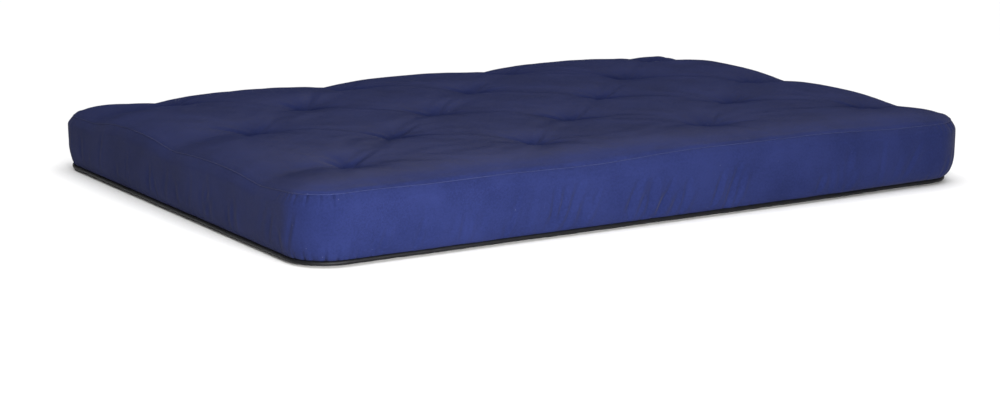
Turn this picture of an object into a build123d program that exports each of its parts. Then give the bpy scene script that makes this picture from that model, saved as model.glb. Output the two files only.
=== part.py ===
from build123d import *
import os

os.makedirs("parts", exist_ok=True)

# A full-size futon mattress, flat, in millimetres.
# Origin: centre of the underside. +X along the length, +Y towards the back, +Z up.

# Overall form
length = 1905.0
depth = 1372.0
height = 195.0
corner_radius = 110.0       # in plan
top_round = 45.0            # roll of the upper edge
bottom_round = 25.0         # roll of the lower edge

# Cover
cover_thickness = 2.0
top_seam_height = 172.0     # where the top panel meets the border
bottom_seam_height = 8.0    # where the border meets the bottom panel

# Welt in the bottom seam
welt_radius = 4.5
welt_inset = 5.0            # welt's centre line inside the plan outline
welt_height = 6.0           # welt's centre line above the underside

# Filling, from below: batting, foam core, batting
core_bottom = 52.0
core_top = 135.0

# Tufting: staggered rows, four ties and three ties in turn
tuft_pitch_x = 500.0
tuft_pitch_y = 228.0
tuft_shift = 30.0           # the whole pattern sits this far right of the middle
tuft_rows = 5
top_dimple_depth = 35.0
top_dimple_mouth = 96.0
bottom_dimple_depth = 12.0
bottom_dimple_mouth = 60.0
dimple_floor = 18.0
disc_radius = 14.0
disc_thickness = 3.0
tie_radius = 1.5

# Fold: just behind the middle row of tufts, so that row stays with the seat half
fold_y = 20.0
fold_gap = 0.4

top_disc_base = height - top_dimple_depth
bottom_disc_base = bottom_dimple_depth - disc_thickness


def tuft_row(row):
    """The tuft points of one row, counted from the front edge."""
    in_row = 4 if row % 2 == 0 else 3
    y = (row - (tuft_rows - 1) / 2) * tuft_pitch_y
    return [(tuft_shift + (i - (in_row - 1) / 2) * tuft_pitch_x, y) for i in range(in_row)]


seat_tufts = tuft_row(0) + tuft_row(1)
fold_tufts = tuft_row(2)
back_tufts = tuft_row(3) + tuft_row(4)
all_tufts = seat_tufts + fold_tufts + back_tufts


def at_height(points, z):
    return [(x, y, z) for x, y in points]


def plain_block(skin):
    """The mattress's form before tufting, moved in by skin on every side."""
    with BuildPart() as block:
        with BuildSketch(Plane.XY.offset(skin)):
            RectangleRounded(length - 2 * skin, depth - 2 * skin, corner_radius - skin)
        extrude(amount=height - 2 * skin)
        fillet(block.faces().sort_by(Axis.Z)[-1].edges(), top_round - skin)
        fillet(block.faces().sort_by(Axis.Z)[0].edges(), bottom_round - skin)
    return block.part


def tufted_block(skin):
    """The same form with the dimples that the ties pull into both faces."""
    with BuildPart() as block:
        add(plain_block(skin))
        with Locations(*at_height(all_tufts, height)):
            Cone(
                dimple_floor + skin,
                top_dimple_mouth + skin,
                top_dimple_depth + skin,
                align=(Align.CENTER, Align.CENTER, Align.MAX),
                mode=Mode.SUBTRACT,
            )
        with Locations(*at_height(all_tufts, 0)):
            Cone(
                bottom_dimple_mouth + skin,
                dimple_floor + skin,
                bottom_dimple_depth + skin,
                align=(Align.CENTER, Align.CENTER, Align.MIN),
                mode=Mode.SUBTRACT,
            )
    return block.part


def welt_cord():
    """The welt as one closed cord round the bottom seam."""
    with BuildSketch(Plane.XY.offset(welt_height)) as outline:
        RectangleRounded(
            length - 2 * welt_inset, depth - 2 * welt_inset, corner_radius - welt_inset
        )
    path = outline.sketch.wires()[0]
    with BuildPart() as cord:
        with BuildSketch(Plane(path @ 0, z_dir=path % 0)):
            Circle(welt_radius)
        sweep(path=path)
    return cord.part


def drill_ties():
    """Takes every tie's hole out of the part being built."""
    with Locations(*at_height(all_tufts, bottom_dimple_depth)):
        Cylinder(
            tie_radius,
            top_disc_base - bottom_dimple_depth,
            align=(Align.CENTER, Align.CENTER, Align.MIN),
            mode=Mode.SUBTRACT,
        )


def halve(half):
    """Keeps the seat half or the back half of the part being built."""
    if half == "seat":
        split(bisect_by=Plane.XZ.offset(-(fold_y - fold_gap / 2)), keep=Keep.TOP)
    else:
        split(bisect_by=Plane.XZ.offset(-(fold_y + fold_gap / 2)), keep=Keep.BOTTOM)


def write(piece, name):
    piece.label = name
    export_step(piece, f"parts/{name}.step")


inner = tufted_block(cover_thickness)
welt = welt_cord()

with BuildPart() as border:
    add(plain_block(0))
    add(plain_block(cover_thickness), mode=Mode.SUBTRACT)
    add(welt, mode=Mode.SUBTRACT)
    split(bisect_by=Plane.XY.offset(bottom_seam_height), keep=Keep.TOP)
    split(bisect_by=Plane.XY.offset(top_seam_height), keep=Keep.BOTTOM)

with BuildPart() as panels:
    add(tufted_block(0))
    add(inner, mode=Mode.SUBTRACT)
    add(border.part, mode=Mode.SUBTRACT)
    add(welt, mode=Mode.SUBTRACT)
    drill_ties()

with BuildPart() as filling:
    add(inner)
    add(welt, mode=Mode.SUBTRACT)
    drill_ties()


def layer(source, half, low=None, high=None):
    """One half of a source, or of what it holds between two heights."""
    with BuildPart() as slab:
        add(source)
        if low is not None:
            split(bisect_by=Plane.XY.offset(low), keep=Keep.TOP)
        if high is not None:
            split(bisect_by=Plane.XY.offset(high), keep=Keep.BOTTOM)
        halve(half)
    return slab.part


for half in ("seat", "back"):
    write(layer(panels.part, half, low=height / 2), f"{half}_top_panel")
    write(layer(border.part, half), f"{half}_border")
    write(layer(panels.part, half, high=height / 2), f"{half}_bottom_panel")
    write(layer(welt, half), f"{half}_bottom_welt")
    write(layer(filling.part, half, low=core_top), f"{half}_upper_batting")
    write(layer(filling.part, half, low=core_bottom, high=core_top), f"{half}_foam_core")
    write(layer(filling.part, half, high=core_bottom), f"{half}_lower_batting")


def tuft_discs(points, base):
    with BuildPart() as discs:
        with Locations(*at_height(points, base)):
            Cylinder(
                disc_radius, disc_thickness, align=(Align.CENTER, Align.CENTER, Align.MIN)
            )
    return discs.part


def tuft_ties(points):
    with BuildPart() as ties:
        with Locations(*at_height(points, bottom_dimple_depth)):
            Cylinder(
                tie_radius,
                top_disc_base - bottom_dimple_depth,
                align=(Align.CENTER, Align.CENTER, Align.MIN),
            )
    return ties.part


for name, points in (("seat", seat_tufts), ("fold", fold_tufts), ("back", back_tufts)):
    write(tuft_discs(points, top_disc_base), f"{name}_top_tuft_discs")
    write(tuft_discs(points, bottom_disc_base), f"{name}_bottom_tuft_discs")
    write(tuft_ties(points), f"{name}_tuft_ties")
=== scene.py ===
import math

import bmesh
import bpy
import numpy as np
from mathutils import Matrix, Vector
from mathutils.bvhtree import BVHTree
from mathutils.geometry import delaunay_2d_cdt


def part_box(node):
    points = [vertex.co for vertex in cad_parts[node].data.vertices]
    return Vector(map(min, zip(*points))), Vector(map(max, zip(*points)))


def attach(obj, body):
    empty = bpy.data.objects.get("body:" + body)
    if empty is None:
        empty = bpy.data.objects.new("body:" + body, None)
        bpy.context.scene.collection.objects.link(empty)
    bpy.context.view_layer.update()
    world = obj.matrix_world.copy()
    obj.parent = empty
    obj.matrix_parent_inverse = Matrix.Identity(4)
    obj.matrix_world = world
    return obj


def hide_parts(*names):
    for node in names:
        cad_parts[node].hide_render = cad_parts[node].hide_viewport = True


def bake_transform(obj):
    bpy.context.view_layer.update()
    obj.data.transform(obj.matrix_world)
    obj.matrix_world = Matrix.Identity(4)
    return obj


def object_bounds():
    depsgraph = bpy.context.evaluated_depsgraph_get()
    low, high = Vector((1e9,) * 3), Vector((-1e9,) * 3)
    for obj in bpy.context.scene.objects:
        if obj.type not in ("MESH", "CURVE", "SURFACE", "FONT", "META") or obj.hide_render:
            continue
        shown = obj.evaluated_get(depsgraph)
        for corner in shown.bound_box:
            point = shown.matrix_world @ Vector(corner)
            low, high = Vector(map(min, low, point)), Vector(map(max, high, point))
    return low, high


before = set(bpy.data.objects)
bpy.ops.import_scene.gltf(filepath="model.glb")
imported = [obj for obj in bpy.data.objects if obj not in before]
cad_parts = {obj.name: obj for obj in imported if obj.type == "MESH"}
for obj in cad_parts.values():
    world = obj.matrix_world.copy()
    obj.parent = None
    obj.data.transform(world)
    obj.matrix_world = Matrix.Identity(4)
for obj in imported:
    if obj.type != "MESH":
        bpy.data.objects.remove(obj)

cad_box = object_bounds()
rng = np.random.default_rng(7)

# ---------------------------------------------------------------- sizes, in metres
half_x, half_y = cad_box[1][0], cad_box[1][1]
corner_radius = 0.110
tuft_pitch_x, tuft_pitch_y, tuft_shift = 0.500, 0.228, 0.030
tuft_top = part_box("seat_top_tuft_discs")[0].z
tuft_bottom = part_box("seat_bottom_tuft_discs")[0].z

cell = 0.0125                 # spacing of the simulated cloth
ring_cell = 0.0066            # spacing round the edge
seam_z, hem_z = 0.171, 0.013  # the border's top and bottom seams
seam_inset, hem_inset = 0.014, 0.014
crown, tuft_pull = 0.019, 0.022  # the top's rise over its seam, and its fall round a tuft
most_move = 0.030             # how far the simulation may carry the cloth
last_frame = 32
straight_x, straight_y = 2 * (half_x - corner_radius), 2 * (half_y - corner_radius)
quarter = math.pi / 2 * corner_radius
perimeter = 2 * (straight_x + straight_y) + 4 * quarter


def tuft_row(row):
    count = 4 if row % 2 == 0 else 3
    y = (row - 2) * tuft_pitch_y
    return [(tuft_shift + (i - (count - 1) / 2) * tuft_pitch_x, y) for i in range(count)]


rows = [tuft_row(r) for r in range(5)]
tufts = np.array([p for row in rows for p in row])


def smooth(t):
    t = np.clip(t, 0, 1)
    return t * t * (3 - 2 * t)


# ---------------------------------------------------------------- the outline in plan
SIDES = [((-1, -1), (1, 0), (0, -1), straight_x), ((1, -1), (0, 1), (1, 0), straight_y),
         ((1, 1), (-1, 0), (0, 1), straight_x), ((-1, 1), (0, -1), (-1, 0), straight_y)]


def outline(s):
    """Points and outward normals at distances s round the rounded rectangle, from the front left."""
    points, normals = np.zeros((len(s), 2)), np.zeros((len(s), 2))
    left = np.mod(s, perimeter)
    todo = np.ones(len(s), bool)
    for centre, along, out, run in SIDES:
        c = np.array(centre) * np.array([half_x - corner_radius, half_y - corner_radius])
        along, out = np.array(along, float), np.array(out, float)
        m = todo & (left < run)
        normals[m] = out
        points[m] = c + out * corner_radius + left[m, None] * along
        todo &= ~m
        left = np.where(todo, left - run, left)
        m = todo & (left < quarter)
        a = left[m, None] / corner_radius
        normals[m] = np.cos(a) * out + np.sin(a) * along
        points[m] = c + run * along + normals[m] * corner_radius
        todo &= ~m
        left = np.where(todo, left - quarter, left)
    return points, normals


def inside_by(xy):
    """How far inside the outline each point is."""
    q = np.abs(xy) - np.array([half_x - corner_radius, half_y - corner_radius])
    out = np.hypot(np.maximum(q[:, 0], 0), np.maximum(q[:, 1], 0))
    return corner_radius - out - np.minimum(np.maximum(q[:, 0], q[:, 1]), 0)


def positions(mesh):
    co = np.zeros(len(mesh.vertices) * 3, np.float32)
    mesh.vertices.foreach_get("co", co)
    return co.reshape(-1, 3).astype(float)


def new_object(name, points, faces):
    mesh = bpy.data.meshes.new(name)
    mesh.from_pydata([tuple(p) for p in points], [], [list(map(int, f)) for f in faces])
    mesh.update()
    obj = bpy.data.objects.new(name, mesh)
    bpy.context.scene.collection.objects.link(obj)
    return obj


def fill_ring(ring, step, margin):
    """Points and faces of an even square lattice that fills a ring. The ring's points come first."""
    xs = np.arange(step / 2, half_x, step)
    ys = np.arange(step / 2, half_y, step)
    grid = np.array([(x, y) for y in [*-ys[::-1], *ys] for x in [*-xs[::-1], *xs]])
    grid = grid[inside_by(grid) > margin]
    n = len(ring)
    flat = np.vstack([ring, grid])
    loop = [(k, (k + 1) % n) for k in range(n)]
    triangles = delaunay_2d_cdt([Vector(p) for p in flat], loop, [], 1, 1e-7)[2]
    bm = bmesh.new()
    verts = [bm.verts.new((x, y, 0)) for x, y in flat]
    for f in triangles:
        bm.faces.new([verts[v] for v in f])
    bm.verts.index_update()
    bmesh.ops.join_triangles(bm, faces=bm.faces[:], cmp_seam=False, angle_face_threshold=3,
                             angle_shape_threshold=0.7)
    faces = [[v.index for v in f.verts] for f in bm.faces]
    bm.free()
    return flat, faces


# ---------------------------------------------------------------- the top panel, by cloth simulation
def slump(xy):
    """How far the mattress has gone down at its corners and back edge, and stands up in mid front."""
    corner = np.hypot(np.maximum(np.abs(xy[:, 0]) - half_x + 0.22, 0),
                      np.maximum(np.abs(xy[:, 1]) - half_y + 0.22, 0))
    full = np.exp(-((xy[:, 0] - 0.2) / 0.38) ** 2) * smooth((-xy[:, 1] - 0.35) / 0.3)
    return 0.012 * smooth((corner - 0.06) / 0.2) + 0.021 * smooth((xy[:, 1] - 0.32) / 0.36) - 0.007 * full


def scallops(xy):
    """Valleys that run out from the outer tufts over the back and end edges."""
    deep = np.zeros(len(xy))
    for x, y in tufts:
        outward = [(0, 1)] * int(y > 0.4) + [(1, 0)] * int(x > 0.7) + [(-1, 0)] * int(x < -0.6)
        for ox, oy in outward:
            out = (xy[:, 0] - x) * ox + (xy[:, 1] - y) * oy
            off = (xy[:, 0] - x) * oy + (xy[:, 1] - y) * ox
            valley = 0.015 * smooth(out / 0.12) * np.exp(-(np.abs(off) / 0.085) ** 1.6)
            deep = np.maximum(deep, valley)
    return deep


def rest_height(xy, distance):
    """The height at which the batting on its own would hold the top, drawn down round each tuft."""
    rim = np.clip((inside_by(xy) - seam_inset) / 0.085, 0, 1)
    rise = np.sqrt(1 - (1 - rim) ** 2) * crown
    pull = tuft_pull * np.exp(-(distance / 0.038) ** 1.3)
    return seam_z + rise - pull - slump(xy) - scallops(xy)


def grip_group(obj, name, weights):
    group = obj.vertex_groups.new(name=name)
    for value in np.unique(np.round(weights, 2)):
        if value > 0:
            group.add([int(i) for i in np.flatnonzero(np.round(weights, 2) == value)], float(value), "REPLACE")


def settle(obj, last):
    """Steps the simulation and returns where the cloth's points end up."""
    scene = bpy.context.scene
    scene.frame_start, scene.frame_end = 1, last
    for f in range(1, last + 1):
        scene.frame_set(f)
    return positions(obj.evaluated_get(bpy.context.evaluated_depsgraph_get()).data)


def filled_top():
    """The top panel: a cloth cut a little too large, held down by the tufts and pressed up by the filling."""
    around = 2 * round(perimeter / ring_cell / 2)
    s = np.arange(around) / around * perimeter
    base, normals = outline(s)
    flat, faces = fill_ring(base - normals * seam_inset, cell, seam_inset + 0.0085)
    count = len(flat)
    distance = np.hypot(flat[:, None, 0] - tufts[None, :, 0], flat[:, None, 1] - tufts[None, :, 1])
    which, distance = distance.argmin(1), distance.min(1)
    start = np.column_stack([flat, rest_height(flat, np.full(count, 9.0))])
    start[:, 2] += rng.normal(0, 0.0006, count)
    goal = np.column_stack([flat, rest_height(flat, distance)])
    lap = s / perimeter * 2 * np.pi
    wave = 0.0022 * np.sin(6 * lap + 1) + 0.0016 * np.sin(14 * lap + 2)
    start[:around, 2] = goal[:around, 2] = seam_z + wave - slump(flat[:around]) - 0.6 * scallops(flat[:around])
    held = distance < 0.0135
    tuft_z = tuft_top + rng.normal(0, 0.003, len(tufts))
    goal[held, 2] = tuft_z[which[held]]
    top = new_object("cover_top_panel", start, faces)
    top.shape_key_add(name="Basis")
    key = top.shape_key_add(name="tufted")
    key.data.foreach_set("co", goal.astype(np.float32).ravel())
    key.value = 0
    key.keyframe_insert("value", frame=1)
    key.value = 1
    key.keyframe_insert("value", frame=16)
    grip = np.full(count, 0.25)
    grip[held] = 1
    grip[:around] = 1
    grip_group(top, "grip", grip)
    grip_group(top, "taut", 1 - smooth((inside_by(flat) - 0.05) / 0.16))

    cloth = top.modifiers.new("filling", "CLOTH")
    c = cloth.settings
    c.quality = 4
    c.mass = 0.25
    c.air_damping = 3
    c.tension_stiffness = c.compression_stiffness = 25
    c.shear_stiffness = 6
    c.tension_damping = c.compression_damping = c.shear_damping = 8
    c.bending_stiffness = 2.5
    c.bending_damping = 0.6
    c.vertex_group_mass = "grip"
    c.pin_stiffness = 1
    c.vertex_group_shrink = "taut"
    c.shrink_min = -0.020
    c.shrink_max = -0.004
    c.use_pressure = True
    c.uniform_pressure_force = 0.2
    c.effector_weights.gravity = 0
    cloth.collision_settings.use_collision = False
    cloth.point_cache.frame_start, cloth.point_cache.frame_end = 1, last_frame
    found = settle(top, last_frame)
    top.modifiers.clear()
    top.shape_key_clear()
    move = found - goal
    far = np.linalg.norm(move, axis=1)
    found = goal + 0.8 * move * np.minimum(1, most_move / np.maximum(far, 1e-9))[:, None]
    found = relaxed(top.data, found, held | (np.arange(count) < around), 5)
    top.data.vertices.foreach_set("co", found.astype(np.float32).ravel())
    top.data.update()
    subdivide(top)
    crease(top)
    return top, around, tuft_z


def relaxed(mesh, points, fixed, times):
    """Evens the cloth out over its neighbours, as stiff twill does to a light wrinkle."""
    edges = np.zeros(len(mesh.edges) * 2, np.int32)
    mesh.edges.foreach_get("vertices", edges)
    a, b = edges.reshape(-1, 2).T
    number = np.bincount(a, minlength=len(points)) + np.bincount(b, minlength=len(points))
    for _ in range(times):
        total = np.zeros_like(points)
        np.add.at(total, a, points[b])
        np.add.at(total, b, points[a])
        even = total / number[:, None]
        points = np.where(fixed[:, None], points, 0.5 * points + 0.5 * even)
    return points


def crease(obj):
    """Sharp folds that run out from each tuft, mostly towards the tufts of the next row."""
    co = positions(obj.data)
    r = np.random.default_rng(17)
    for x, y in tufts:
        arms = [(42, 0.15, 1.0), (138, 0.10, 0.9), (-42, 0.09, 0.7), (-138, 0.10, 0.7),
                (r.uniform(70, 110), 0.05, 0.5), (r.uniform(-110, -70), 0.05, 0.5),
                (r.uniform(-12, 12), 0.06, 0.5)]
        for angle, reach, strength in arms:
            a = math.radians(angle + r.normal(0, 9))
            reach *= r.uniform(0.7, 1.35)
            deep = 0.0052 * strength * r.uniform(0.6, 1.2)
            wide = r.uniform(0.0052, 0.0075)
            bow = r.normal(0, 0.9)
            dx, dy = co[:, 0] - x, co[:, 1] - y
            along, off = dx * math.cos(a) + dy * math.sin(a), -dx * math.sin(a) + dy * math.cos(a)
            off = off - bow * along * (reach - along)
            share = np.clip((along - 0.012) / reach, 0, 1)
            near = (along > 0.012) & (along < 0.012 + reach) & (np.abs(off) < 0.05)
            taper = (1 - share[near]) ** 1.1 * smooth(share[near] * 6 + 0.3)
            width = wide * (1 + 0.8 * share[near])
            beside = 0.55 * np.exp(-((np.abs(off[near]) - 2.1 * width) / (1.2 * width)) ** 2)
            co[near, 2] += deep * taper * (beside - np.exp(-(off[near] / width) ** 2))
    obj.data.vertices.foreach_set("co", co.astype(np.float32).ravel())
    obj.data.update()


def subdivide(obj):
    """Applies one Catmull-Clark subdivision."""
    modifier = obj.modifiers.new("round", "SUBSURF")
    modifier.levels = modifier.render_levels = 1
    modifier.boundary_smooth = "PRESERVE_CORNERS"
    bpy.context.view_layer.update()
    finer = bpy.data.meshes.new_from_object(obj.evaluated_get(bpy.context.evaluated_depsgraph_get()))
    obj.modifiers.clear()
    obj.data = finer


top, around, tuft_z = filled_top()


# ---------------------------------------------------------------- the border
def edge_loop(mesh, first):
    """The boundary of a panel as vertex indices, in order, starting near a point."""
    uses = {}
    for p in mesh.polygons:
        for key in p.edge_keys:
            uses[key] = uses.get(key, 0) + 1
    after = {}
    for (a, b), n in uses.items():
        if n == 1:
            after.setdefault(a, []).append(b)
            after.setdefault(b, []).append(a)
    co = mesh.vertices
    here = min(after, key=lambda v: (co[v].co.xy - first).length)
    ahead = max(after[here], key=lambda v: co[v].co.x)
    loop = [here]
    while ahead != loop[0]:
        before = loop[-1]
        loop.append(ahead)
        ahead = next(v for v in after[ahead] if v != before)
    return np.array(loop)


def hem_tuck(base):
    """How far inside the outline the hem lies: the right end is tucked in further."""
    return hem_inset + 0.004 + 0.014 * smooth((base[:, 0] - 0.35) / 0.55)


def border_inset(z, tuck):
    """How far inside the outline the border lies at height z: it curves in to each seam."""
    t = (z - hem_z) / (seam_z - hem_z)
    low = (tuck - 0.003) * (1 - math.sqrt(1 - (1 - min(t / 0.36, 1)) ** 2))
    lean = 0.003 * (1 - t) - 0.002 * math.sin(math.pi * t)
    high = seam_inset * np.clip((t - 0.80) / 0.20, 0, 1) ** 2
    return low + lean + high


def waves(s, z, count, short, long, seed):
    """Smooth seeded unevenness, about 1 high, that joins up round the border."""
    r = np.random.default_rng(seed)
    total = 0
    for _ in range(count):
        turns = round(perimeter / r.uniform(short, long))
        total = total + r.uniform(0.4, 1) * np.sin(2 * np.pi * turns * s / perimeter + r.uniform(0, 6.3)
                                                   + z * r.uniform(-30, 30))
    return total / math.sqrt(count)


def border_relief(s, z):
    """How far wrinkles and puckers push the border out."""
    out = 0.0016 * waves(s, z, 5, 0.30, 1.1, 3) * np.sin(np.pi * np.clip(z / seam_z, 0, 1))
    out += 0.0005 * waves(s, z, 6, 0.06, 0.16, 4)
    # puckers in the top seam where it is eased round the corners
    middle = np.array([straight_x + quarter / 2, straight_x + straight_y + 1.5 * quarter,
                       2 * straight_x + straight_y + 2.5 * quarter, perimeter - quarter / 2])
    off = np.abs((s[:, None] - middle[None] + perimeter / 2) % perimeter - perimeter / 2).min(1)
    corner = 1 - smooth((off - 0.05) / 0.11)
    gather = np.clip(waves(s, 0 * z, 6, 0.015, 0.034, 5) - 0.05, 0, None) ** 1.2
    out -= 0.0110 * corner * gather * np.exp(-(np.abs(seam_z - z) / 0.019) ** 1.5)
    tucks = np.clip(waves(s, 0 * z, 6, 0.016, 0.036, 6) - 0.05, 0, None) ** 1.2
    out -= 0.0062 * (0.25 + corner) * tucks * np.exp(-(np.abs(z - hem_z) / 0.018) ** 1.5)
    # soft slanting drag lines that rise from the hem
    r = np.random.default_rng(11)
    for _ in range(170):
        at, lean, tall = r.uniform(0, perimeter), r.normal(0.24, 0.16), r.uniform(0.045, 0.125)
        wide, deep = r.uniform(0.006, 0.012), r.uniform(0.0010, 0.0034)
        share = at / straight_x
        deep *= 2.0 if 0.30 < share < 0.78 else 0.9 if share < 1 else 0.6
        foot = hem_z + r.uniform(-0.005, 0.018)
        d = (s - at - lean * (z - foot) + perimeter / 2) % perimeter - perimeter / 2
        up = (z - foot) / tall
        out += -deep * np.exp(-(d / wide) ** 2) * np.sin(np.pi * np.clip(up, 0, 1)) ** 0.8
        out += 0.6 * deep * np.exp(-((d - 1.7 * wide) / wide) ** 2) * np.sin(np.pi * np.clip(up, 0, 1)) ** 0.8
    return out


def build_border():
    """The border, hung from the top panel's own edge down to the hem."""
    loop = edge_loop(top.data, Vector(outline(np.zeros(1))[0][0]))
    seam = positions(top.data)[loop]
    n = len(loop)
    s = np.arange(n) / n * perimeter
    base, normals = outline(s)
    heights = np.concatenate([[0.171, 0.1695, 0.1675, 0.165], np.linspace(0.161, 0.033, 34),
                              [0.0295, 0.026, 0.0225, 0.019, 0.016, 0.0145, 0.013]])
    drift = seam - np.column_stack([base - normals * seam_inset, np.full(n, seam_z)])
    points = []
    for z in heights:
        row = np.column_stack([base - normals * border_inset(z, hem_tuck(base))[:, None], np.full(n, z)])
        row += drift * smooth((z - 0.09) / (seam_z - 0.09))
        row[:, :2] += normals * (border_relief(s, row[:, 2]) * smooth((seam_z - z) / 0.004))[:, None]
        points.append(row)
    points = np.vstack(points)
    faces = []
    for i in range(len(heights) - 1):
        for k in range(n):
            a, b = i * n + k, i * n + (k + 1) % n
            faces.append([a, a + n, b + n, b])
    border = new_object("cover_border", points, faces)
    uv = border.data.uv_layers.new(name="weave")
    loops = np.zeros(len(border.data.loops), np.int32)
    border.data.loops.foreach_get("vertex_index", loops)
    u, v = s[loops % n], points[loops, 2]
    quad = u.reshape(-1, 4)
    quad += perimeter * ((quad.max(1, keepdims=True) - quad) > perimeter / 2)
    uv.data.foreach_set("uv", np.column_stack([quad.ravel(), v]).astype(np.float32).ravel())
    return border, points[-n:], s


def flat_uv(obj):
    """Lays the weave flat over a panel, in metres."""
    uv = obj.data.uv_layers.get("weave") or obj.data.uv_layers.new(name="weave")
    loops = np.zeros(len(obj.data.loops), np.int32)
    obj.data.loops.foreach_get("vertex_index", loops)
    uv.data.foreach_set("uv", positions(obj.data)[loops, :2].astype(np.float32).ravel())


def seam_line():
    """Draws the top panel in along its seam, and puffs it just inside, as a plain seam does."""
    co = positions(top.data)
    inside = inside_by(co[:, :2]) - seam_inset
    s_like = co[:, 0] * 1.7 + co[:, 1] * 1.3
    co[:, 2] += 0.0022 * np.exp(-((inside - 0.008) / 0.006) ** 2) * (1 + 0.3 * np.sin(s_like / 0.03))
    co[:, 2] -= 0.0012 * np.exp(-(inside / 0.003) ** 2)
    top.data.vertices.foreach_set("co", co.astype(np.float32).ravel())
    top.data.update()


seam_line()
border, hem, around_s = build_border()
flat_uv(top)


# ---------------------------------------------------------------- the underside
def build_bottom():
    """The bottom panel: flat on the floor, with a shallow dent at each tie."""
    flat, faces = fill_ring(hem[:, :2], 0.016, hem_inset + 0.012)
    n = len(hem)
    distance = np.hypot(flat[:, None, 0] - tufts[None, :, 0], flat[:, None, 1] - tufts[None, :, 1])
    which, distance = distance.argmin(1), distance.min(1)
    angle = np.arctan2(flat[:, 1] - tufts[which, 1], flat[:, 0] - tufts[which, 0])
    inside = inside_by(flat) - hem_inset
    # The black underside curves up to the raised hem behind the welt, so a black strip shows between the cord
    # and the floor: painted shade standing in for the shadow gap under the welt.
    z = 0.0004 + 0.011 * np.exp(-(inside / 0.013) ** 2)
    z += (tuft_bottom - 0.0004) * (1 - smooth((distance - 0.014) / 0.034))
    z += 0.0012 * (1 + np.cos(7 * angle + which)) * np.exp(-((distance - 0.035) / 0.02) ** 2)
    points = np.column_stack([flat, z])
    points[:n] = hem
    return new_object("cover_bottom_panel", points, [f[::-1] for f in faces])


def tube(path, radius, sides, closed=True):
    """A round cord along a closed path in space."""
    n = len(path)
    ahead = np.roll(path, -1, 0) - np.roll(path, 1, 0)
    if not closed:
        ahead[0], ahead[-1] = path[1] - path[0], path[-1] - path[-2]
    ahead /= np.linalg.norm(ahead, axis=1)[:, None]
    up = np.tile([0.0, 0.0, 1.0], (n, 1))
    steep = np.abs(ahead[:, 2]) > 0.9
    up[steep] = [0.0, 1.0, 0.0]
    side = np.cross(ahead, up)
    side /= np.linalg.norm(side, axis=1)[:, None]
    up = np.cross(side, ahead)
    a = np.arange(sides) / sides * 2 * np.pi
    radius = np.broadcast_to(radius, n)
    ring = side[:, None] * np.cos(a)[None, :, None] + up[:, None] * np.sin(a)[None, :, None]
    points = (path[:, None] + ring * radius[:, None, None]).reshape(-1, 3)
    faces = []
    for k in range(n if closed else n - 1):
        m = (k + 1) % n
        for j in range(sides):
            i = (j + 1) % sides
            faces.append([k * sides + j, k * sides + i, m * sides + i, m * sides + j])
    if not closed:
        faces += [list(range(sides))[::-1], [(n - 1) * sides + j for j in range(sides)]]
    return points, faces


def build_welt():
    s = around_s[::2]
    base, normals = outline(s)
    inset = hem_tuck(base) - 0.0042 - 0.0005 * waves(s, 0 * s, 5, 0.12, 0.5, 21)
    z = 0.0103 + 0.0005 * waves(s, 0 * s, 5, 0.15, 0.6, 22)
    path = np.column_stack([base - normals * inset[:, None], z])
    radius = 0.0055 * (1 + 0.04 * waves(s, 0 * s, 6, 0.02, 0.06, 23))
    points, faces = tube(path, radius, 12)
    welt = new_object("bottom_welt", points, faces)
    uv = welt.data.uv_layers.new(name="weave")
    loops = np.zeros(len(welt.data.loops), np.int32)
    welt.data.loops.foreach_get("vertex_index", loops)
    u, v = s[loops // 12].reshape(-1, 4), (loops % 12 / 12).reshape(-1, 4)
    u = u + perimeter * ((u.max(1, keepdims=True) - u) > perimeter / 2)
    v = v + ((v.max(1, keepdims=True) - v) > 0.5)
    uv.data.foreach_set("uv", np.column_stack([u.ravel(), v.ravel() * 0.029]).astype(np.float32).ravel())
    return welt


def build_seam():
    """The top seam's folded edge: a fine ridge between the top panel and the border."""
    path = positions(border.data)[:len(around_s)]
    out = outline(around_s)[1]
    path = path + np.column_stack([out * 0.0003, np.full(len(path), 0.0002)])
    points, faces = tube(path, 0.0009 * (1 + 0.12 * waves(around_s, 0 * around_s, 6, 0.008, 0.03, 41)), 6)
    ridge = new_object("top_seam", points, faces)
    uv = ridge.data.uv_layers.new(name="weave")
    loops = np.zeros(len(ridge.data.loops), np.int32)
    ridge.data.loops.foreach_get("vertex_index", loops)
    u = around_s[loops // 6].reshape(-1, 4)
    u = u + perimeter * ((u.max(1, keepdims=True) - u) > perimeter / 2)
    uv.data.foreach_set("uv", np.column_stack([u.ravel(), loops % 6 / 6 * 0.007]).astype(np.float32).ravel())
    return ridge


bottom = build_bottom()
flat_uv(bottom)
welt = build_welt()
seam_ridge = build_seam()


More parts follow.
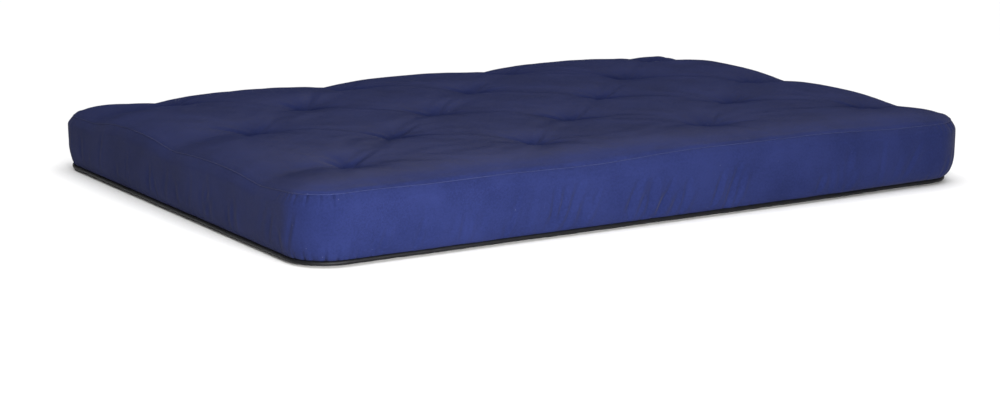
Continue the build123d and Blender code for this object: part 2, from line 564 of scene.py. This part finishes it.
# ---------------------------------------------------------------- the filling, under the finished cover
def build_layer(name, low, high, inset_low, inset_high, seed):
    """One slab of filling. low and high are heights, or None for the height that the cover leaves."""
    tree = BVHTree.FromObject(top, bpy.context.evaluated_depsgraph_get())
    around = 260
    base, normals = outline(np.arange(around) / around * perimeter)
    mid = 0.5 * (inset_low + inset_high)
    flat, faces = fill_ring(base - normals * (mid + 0.004), 0.024, mid + 0.02)
    n = len(flat)
    r = np.random.default_rng(seed)
    fluff = r.normal(0, 0.0006, n)
    lower = np.full(n, low) + fluff
    if high is None:
        reach = [(0.018 * math.cos(t), 0.018 * math.sin(t)) for t in np.arange(6) * math.pi / 3] + [(0, 0)]
        upper = np.full(n, 1.0)
        for dx, dy in reach:
            drop = [tree.ray_cast(Vector((x + dx, y + dy, 1)), Vector((0, 0, -1)))[0] for x, y in flat]
            upper = np.minimum(upper, [(d.z if d else seam_z) - 0.007 for d in drop])
        upper = np.maximum(upper, low + 0.0005)
    else:
        upper = np.full(n, high) + fluff
    a, b = np.column_stack([flat, lower]), np.column_stack([flat, upper])
    side = []
    for k, share in enumerate((0.15, 0.5, 0.85)):
        out = (inset_low + (inset_high - inset_low) * share)
        ring = base - normals * out
        side.append(np.column_stack([ring, a[:around, 2] + (b[:around, 2] - a[:around, 2]) * share]))
    points = np.vstack([a, b, *side])
    quads = [f[::-1] for f in faces] + [[v + n for v in f] for f in faces]
    rows = [np.arange(around)]
    rows += [2 * n + k * around + np.arange(around) for k in range(3)]
    rows += [n + np.arange(around)]
    for lo, hi in zip(rows, rows[1:]):
        for k in range(around):
            m = (k + 1) % around
            quads.append([lo[k], lo[m], hi[m], hi[k]])
    return new_object(name, points, quads)


core_low, core_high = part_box("seat_foam_core")[0].z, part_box("seat_foam_core")[1].z
lower_batting = build_layer("lower_batting", tuft_bottom + 0.008, core_low - 0.0008, 0.040, 0.022, 31)
foam_core = build_layer("foam_core", core_low, core_high - 0.016, 0.020, 0.020, 32)
upper_batting = build_layer("upper_batting", core_high - 0.014, None, 0.022, 0.050, 33)


# ---------------------------------------------------------------- tufts
def disc(centre, z, up, seed):
    """A felt disc with a soft uneven edge."""
    r = np.random.default_rng(seed)
    rings = [(0.0035, 0.0024), (0.0075, 0.0026), (0.0110, 0.0024),
             (0.0133, 0.0017), (0.0140, 0.0008), (0.0134, 0.0)]
    sides = 22
    a = np.arange(sides) / sides * 2 * np.pi
    points = [[0, 0, 0.0022]]
    for radius, high in rings:
        wobble = radius * (1 + 0.02 * r.normal(size=sides) * (radius > 0.012))
        points += [[w * math.cos(t), w * math.sin(t), high + r.normal(0, 0.00012)] for w, t in zip(wobble, a)]
    points.append([0, 0, 0])
    faces = [[0, 1 + k, 1 + (k + 1) % sides] for k in range(sides)]
    for i in range(len(rings) - 1):
        for k in range(sides):
            m = (k + 1) % sides
            inner, outer = 1 + i * sides, 1 + (i + 1) * sides
            faces.append([inner + k, outer + k, outer + m, inner + m])
    last, end = 1 + (len(rings) - 1) * sides, len(points) - 1
    faces += [[last + k, end, last + (k + 1) % sides] for k in range(sides)]
    points = np.array(points)
    if not up:
        points[:, 2] *= -1
        faces = [f[::-1] for f in faces]
    return points + np.array([*centre, z]), faces


def twine(low, high, centre, seed):
    """A two-ply twine through the mattress, with its knotted loop over each disc."""
    x, y = centre
    z = np.linspace(low + 0.003, high - 0.003, 60)
    made = []
    for ply in (0, math.pi):
        a = z / 0.006 * 2 * math.pi + ply
        path = np.column_stack([x + 0.0007 * np.cos(a), y + 0.0007 * np.sin(a), z])
        made.append(tube(path, 0.0008, 7, False))
    for level, sign in ((high + 0.0024, 1), (low - 0.0024, -1)):
        t = np.linspace(0, math.pi, 14)
        turn = seed * 0.7
        reach = 0.0042 * np.cos(t)
        path = np.column_stack([x + reach * math.cos(turn), y + reach * math.sin(turn),
                                level - sign * 0.0012 + sign * 0.0019 * np.sin(t)])
        made.append(tube(path, 0.0009, 7, False))
    return made


def join_parts(name, parts):
    points, faces, count = [], [], 0
    for p, f in parts:
        points.append(p)
        faces += [[v + count for v in q] for q in f]
        count += len(p)
    return new_object(name, np.vstack(points), faces)


groups = {"seat": [0, 1], "fold": [2], "back": [3, 4]}
tuft_pieces = {}
index = {tuple(np.round(p, 4)): i for i, p in enumerate(tufts)}
for where, which_rows in groups.items():
    own = [index[tuple(np.round(p, 4))] for r in which_rows for p in rows[r]]
    tuft_pieces[where, "top_tuft_discs"] = join_parts(
        f"{where}_top_felts", [disc(tufts[i], tuft_z[i] + 0.0006, True, 100 + i) for i in own])
    tuft_pieces[where, "bottom_tuft_discs"] = join_parts(
        f"{where}_bottom_felts", [disc(tufts[i], tuft_bottom - 0.0006 + 0.001, False, 200 + i) for i in own])
    tuft_pieces[where, "tuft_ties"] = join_parts(
        f"{where}_twine", [t for i in own for t in twine(tuft_bottom, tuft_z[i], tufts[i], i)])


# ---------------------------------------------------------------- materials
def material(name, colour, rough, specular=0.3, sheen=0.0, sheen_rough=0.4, sheen_tint=(1, 1, 1)):
    m = bpy.data.materials.new(name)
    m.use_nodes = True
    shader = m.node_tree.nodes["Principled BSDF"]
    shader.inputs["Base Color"].default_value = (*colour, 1)
    shader.inputs["Roughness"].default_value = rough
    shader.inputs["Specular IOR Level"].default_value = specular
    shader.inputs["Sheen Weight"].default_value = sheen
    shader.inputs["Sheen Roughness"].default_value = sheen_rough
    shader.inputs["Sheen Tint"].default_value = (*sheen_tint, 1)
    return m, m.node_tree, shader


def node(tree, kind, inputs=None, **settings):
    n = tree.nodes.new(kind)
    for key, value in settings.items():
        setattr(n, key, value)
    for key, value in (inputs or {}).items():
        if hasattr(value, "is_output"):
            tree.links.new(value, n.inputs[key])
        else:
            n.inputs[key].default_value = value
    return n


def sums(tree, kind, a, b, c=None):
    n = node(tree, "ShaderNodeMath", operation=kind)
    for socket, value in zip(n.inputs, (a, b, c)):
        if value is None:
            continue
        if hasattr(value, "is_output"):
            tree.links.new(value, socket)
        else:
            socket.default_value = value
    return n.outputs[0]


def weave_coordinate(tree):
    return node(tree, "ShaderNodeUVMap", uv_map="weave").outputs["UV"]


def fabric(name, dark, light, wale, rough, specular, sheen, sheen_tint, depth):
    """Cotton twill: diagonal ribs, slubs along the yarns, slow changes of tone and a little lint."""
    m, t, shader = material(name, light, rough, specular, sheen, 0.45, sheen_tint)
    uv = weave_coordinate(t)
    split = node(t, "ShaderNodeSeparateXYZ", {"Vector": uv})
    u, v = split.outputs[0], split.outputs[1]
    drift = node(t, "ShaderNodeTexNoise", {"Vector": uv, "Scale": 90.0, "Detail": 2.0})
    ribs = sums(t, "ADD", u, v)
    ribs = sums(t, "MULTIPLY_ADD", ribs, 2 * math.pi / wale, sums(t, "MULTIPLY", drift.outputs["Fac"], 5.0))
    ribs = sums(t, "SINE", ribs, 0.0)
    yarn = node(t, "ShaderNodeVectorMath", {0: uv, 1: (1.0, 9.0, 1.0)}, operation="MULTIPLY").outputs[0]
    slub = node(t, "ShaderNodeTexNoise", {"Vector": yarn, "Scale": 160.0, "Detail": 3.0})
    cross = node(t, "ShaderNodeVectorMath", {0: uv, 1: (9.0, 1.0, 1.0)}, operation="MULTIPLY").outputs[0]
    weft = node(t, "ShaderNodeTexNoise", {"Vector": cross, "Scale": 160.0, "Detail": 3.0})
    fuzz = node(t, "ShaderNodeTexNoise", {"Vector": uv, "Scale": 190.0, "Detail": 5.0, "Roughness": 0.8})
    broad = node(t, "ShaderNodeTexNoise", {"Vector": uv, "Scale": 5.5, "Detail": 5.0, "Roughness": 0.62})
    tone = sums(t, "MULTIPLY_ADD", slub.outputs["Fac"], 0.30, sums(t, "MULTIPLY", weft.outputs["Fac"], 0.30))
    tone = sums(t, "MULTIPLY_ADD", broad.outputs["Fac"], 0.55, tone)
    tone = sums(t, "MULTIPLY_ADD", fuzz.outputs["Fac"], 0.70, tone)
    ramp = node(t, "ShaderNodeValToRGB", {"Fac": tone})
    ramp.color_ramp.elements[0].position, ramp.color_ramp.elements[1].position = 0.80, 1.02
    ramp.color_ramp.elements[0].color, ramp.color_ramp.elements[1].color = (*dark, 1), (*light, 1)
    lint = node(t, "ShaderNodeTexVoronoi", {"Vector": uv, "Scale": 34.0, "Randomness": 1.0})
    speck = sums(t, "LESS_THAN", lint.outputs["Distance"], 0.024)
    mix = node(t, "ShaderNodeMix", {"Factor": sums(t, "MULTIPLY", speck, 0.35)}, data_type="RGBA")
    t.links.new(ramp.outputs[0], mix.inputs[6])
    mix.inputs[7].default_value = (0.30, 0.31, 0.40, 1)
    t.links.new(mix.outputs[2], shader.inputs["Base Color"])
    relief = sums(t, "MULTIPLY_ADD", ribs, 0.35, sums(t, "MULTIPLY", fuzz.outputs["Fac"], 1.1))
    relief = sums(t, "MULTIPLY_ADD", slub.outputs["Fac"], 0.6, relief)
    relief = sums(t, "MULTIPLY_ADD", weft.outputs["Fac"], 0.6, relief)
    bump = node(t, "ShaderNodeBump", {"Strength": 0.55, "Distance": depth, "Height": relief})
    rumple = node(t, "ShaderNodeTexNoise", {"Vector": uv, "Scale": 26.0, "Detail": 3.0, "Roughness": 0.5})
    soft = node(t, "ShaderNodeBump", {"Strength": 0.5, "Distance": 0.0022, "Height": rumple.outputs["Fac"],
                                      "Normal": bump.outputs[0]})
    t.links.new(soft.outputs[0], shader.inputs["Normal"])
    rough_noise = sums(t, "MULTIPLY_ADD", fuzz.outputs["Fac"], 0.12, rough - 0.06)
    t.links.new(rough_noise, shader.inputs["Roughness"])
    return m


def plain_fibre(name, dark, light, rough, scale, depth, sheen=0.0):
    """Felt, batting, foam or twine: mottled fibre in object space."""
    m, t, shader = material(name, light, rough, 0.2, sheen)
    place = node(t, "ShaderNodeTexCoord").outputs["Object"]
    fibre = node(t, "ShaderNodeTexNoise", {"Vector": place, "Scale": scale, "Detail": 6.0, "Roughness": 0.7})
    ramp = node(t, "ShaderNodeValToRGB", {"Fac": fibre.outputs["Fac"]})
    ramp.color_ramp.elements[0].position, ramp.color_ramp.elements[1].position = 0.3, 0.72
    ramp.color_ramp.elements[0].color, ramp.color_ramp.elements[1].color = (*dark, 1), (*light, 1)
    t.links.new(ramp.outputs[0], shader.inputs["Base Color"])
    bump = node(t, "ShaderNodeBump", {"Strength": 0.7, "Distance": depth, "Height": fibre.outputs["Fac"]})
    t.links.new(bump.outputs[0], shader.inputs["Normal"])
    return m


navy = fabric("navy_twill", (0.0066, 0.0105, 0.048), (0.0112, 0.0166, 0.070), 0.0016, 0.9, 0.07, 0.035,
              (1.0, 0.93, 0.80), 0.00022)
# The seam ridge's twill is a lighter copy of the navy with more sheen: painted highlight for the fine light
# line along the top seam.
seam_navy_painted_highlight = fabric("seam_twill_painted_highlight", (0.010, 0.014, 0.056), (0.020, 0.027, 0.088), 0.0016, 0.85, 0.1, 0.05,
                   (1.0, 0.93, 0.80), 0.0002)
# Black underside; where its rim shows below the welt, its black is also painted shade for the shadow gap under
# the cord.
under = fabric("black_underside", (0.005, 0.005, 0.009), (0.012, 0.012, 0.020), 0.0020, 0.9, 0.1, 0.03,
               (0.8, 0.8, 1.0), 0.0003)
cordage = fabric("black_welt", (0.0010, 0.0010, 0.0018), (0.0026, 0.0026, 0.0042), 0.0012, 0.5, 0.2, 0.0,
                 (0.8, 0.8, 1.0), 0.0002)
batting = plain_fibre("cotton_batting", (0.62, 0.58, 0.50), (0.83, 0.80, 0.73), 0.95, 120.0, 0.002, 0.3)
foam = plain_fibre("foam", (0.72, 0.63, 0.40), (0.86, 0.78, 0.55), 0.9, 500.0, 0.0008)
felt = plain_fibre("tuft_felt", (0.0060, 0.0085, 0.036), (0.012, 0.016, 0.060), 0.95, 900.0, 0.0004, 0.03)
tufting_twine = plain_fibre("tuft_twine", (0.009, 0.011, 0.040), (0.022, 0.026, 0.075), 0.7, 1500.0, 0.0002)


def finish_piece(obj, finish, nodes, rides=None):
    obj.data.materials.clear()
    obj.data.materials.append(finish)
    obj.data.polygons.foreach_set("material_index", np.zeros(len(obj.data.polygons), np.int32))
    obj.data.polygons.foreach_set("use_smooth", np.ones(len(obj.data.polygons), bool))
    obj.data.update()
    if nodes:
        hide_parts(*nodes)
    if rides:
        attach(obj, rides)
    else:
        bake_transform(obj)


both = ("seat_", "back_")
finish_piece(top, navy, [b + "top_panel" for b in both])
finish_piece(border, navy, [b + "border" for b in both])
# The seam ridge wears the lighter twill: painted highlight along the top seam.
finish_piece(seam_ridge, seam_navy_painted_highlight, [])
finish_piece(bottom, under, [b + "bottom_panel" for b in both])
finish_piece(welt, cordage, [b + "bottom_welt" for b in both])
finish_piece(upper_batting, batting, [b + "upper_batting" for b in both])
finish_piece(foam_core, foam, [b + "foam_core" for b in both])
finish_piece(lower_batting, batting, [b + "lower_batting" for b in both])
for (where, kind), piece in tuft_pieces.items():
    slot, finish = ("tuft_twine", tufting_twine) if kind == "tuft_ties" else ("tuft_felt", felt)
    finish_piece(piece, finish, [f"{where}_{kind}"], "seat_half" if where == "seat" else None)


# ---------------------------------------------------------------- floor, light and camera
def build_floor():
    flat = [(x, y, 0) for y in (-40, -6, 6, 40) for x in (-40, -6, 6, 40)]
    floor = new_object("floor", flat, [[r * 4 + c, r * 4 + c + 1, r * 4 + c + 5, r * 4 + c + 4]
                                       for r in range(3) for c in range(3)])
    m = material("studio_floor", (0.90, 0.90, 0.90), 0.9, 0.1)[0]
    floor.data.materials.append(m)


def area_light(name, place, aim, size, power, colour):
    light = bpy.data.lights.new(name, "AREA")
    light.shape = "RECTANGLE"
    light.size, light.size_y = size
    light.energy, light.color = power, colour
    obj = bpy.data.objects.new(name, light)
    bpy.context.scene.collection.objects.link(obj)
    obj.location = place
    obj.visible_camera = False
    obj.rotation_euler = (Vector(aim) - Vector(place)).to_track_quat("-Z", "Y").to_euler()


build_floor()
area_light("key", (-1.15, -2.8, 0.42), (-0.35, -0.5, 0.1), (1.3, 0.5), 143, (1, 0.99, 0.97))
overhead = bpy.data.lights.new("overhead", "SUN")
overhead.energy, overhead.angle = 3.3, math.radians(75)
bpy.context.scene.collection.objects.link(bpy.data.objects.new("overhead", overhead))
world = bpy.data.worlds.new("studio")
bpy.context.scene.world = world
world.use_nodes = True
wt = world.node_tree
background = wt.nodes["Background"]
background.inputs["Color"].default_value = (0.10, 0.10, 0.10, 1)
seen = node(wt, "ShaderNodeBackground", {"Color": (1, 1, 1, 1), "Strength": 1.0})
choose = node(wt, "ShaderNodeMixShader", {0: node(wt, "ShaderNodeLightPath").outputs["Is Camera Ray"]})
wt.links.new(background.outputs[0], choose.inputs[1])
wt.links.new(seen.outputs[0], choose.inputs[2])
wt.links.new(choose.outputs[0], wt.nodes["World Output"].inputs["Surface"])

camera = bpy.data.objects.new("camera", bpy.data.cameras.new("camera"))
bpy.context.scene.collection.objects.link(camera)
camera.location = (-3.2583, -5.0596, 1.2199)
camera.rotation_euler = [math.radians(a) for a in (77.668, -0.440, -32.471)]
camera.data.lens, camera.data.sensor_width = 86.3, 36
camera.data.clip_end = 200
bpy.context.scene.camera = camera
bpy.context.scene.view_settings.view_transform = "Standard"
